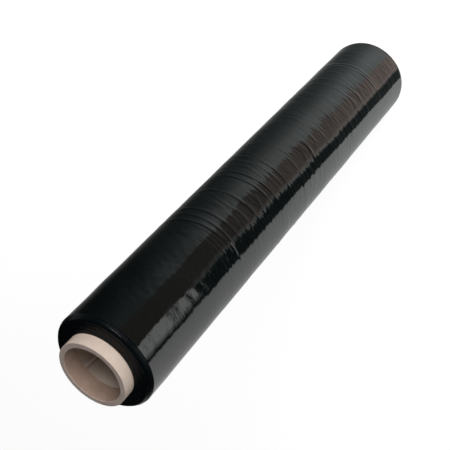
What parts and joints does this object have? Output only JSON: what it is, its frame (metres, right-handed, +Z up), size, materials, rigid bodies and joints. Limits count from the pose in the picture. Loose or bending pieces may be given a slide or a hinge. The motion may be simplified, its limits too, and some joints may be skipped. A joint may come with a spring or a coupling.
{
  "type": "stretch wrap roll",
  "caption": "Roll of glossy black stretch film wound on an open cardboard core whose ends project past the film.",
  "frame": {"origin": "centre of the lower cut end of the core, on the surface that the roll stands on", "axes": "+Z up the axis of the roll; the roll is the same all round, so +X and +Y are free"},
  "size_m": [0.0855, 0.0854, 0.522],
  "materials": {
    "core_card": "uncoated spiral-wound card, sawn at the ends",
    "black_film": "glossy black polyethylene film with fine wrinkles round the roll"
  },
  "bodies": {
    "root": {"cardboard_core": "core_card", "film_winding": "black_film"}
  },
  "joints": []
}
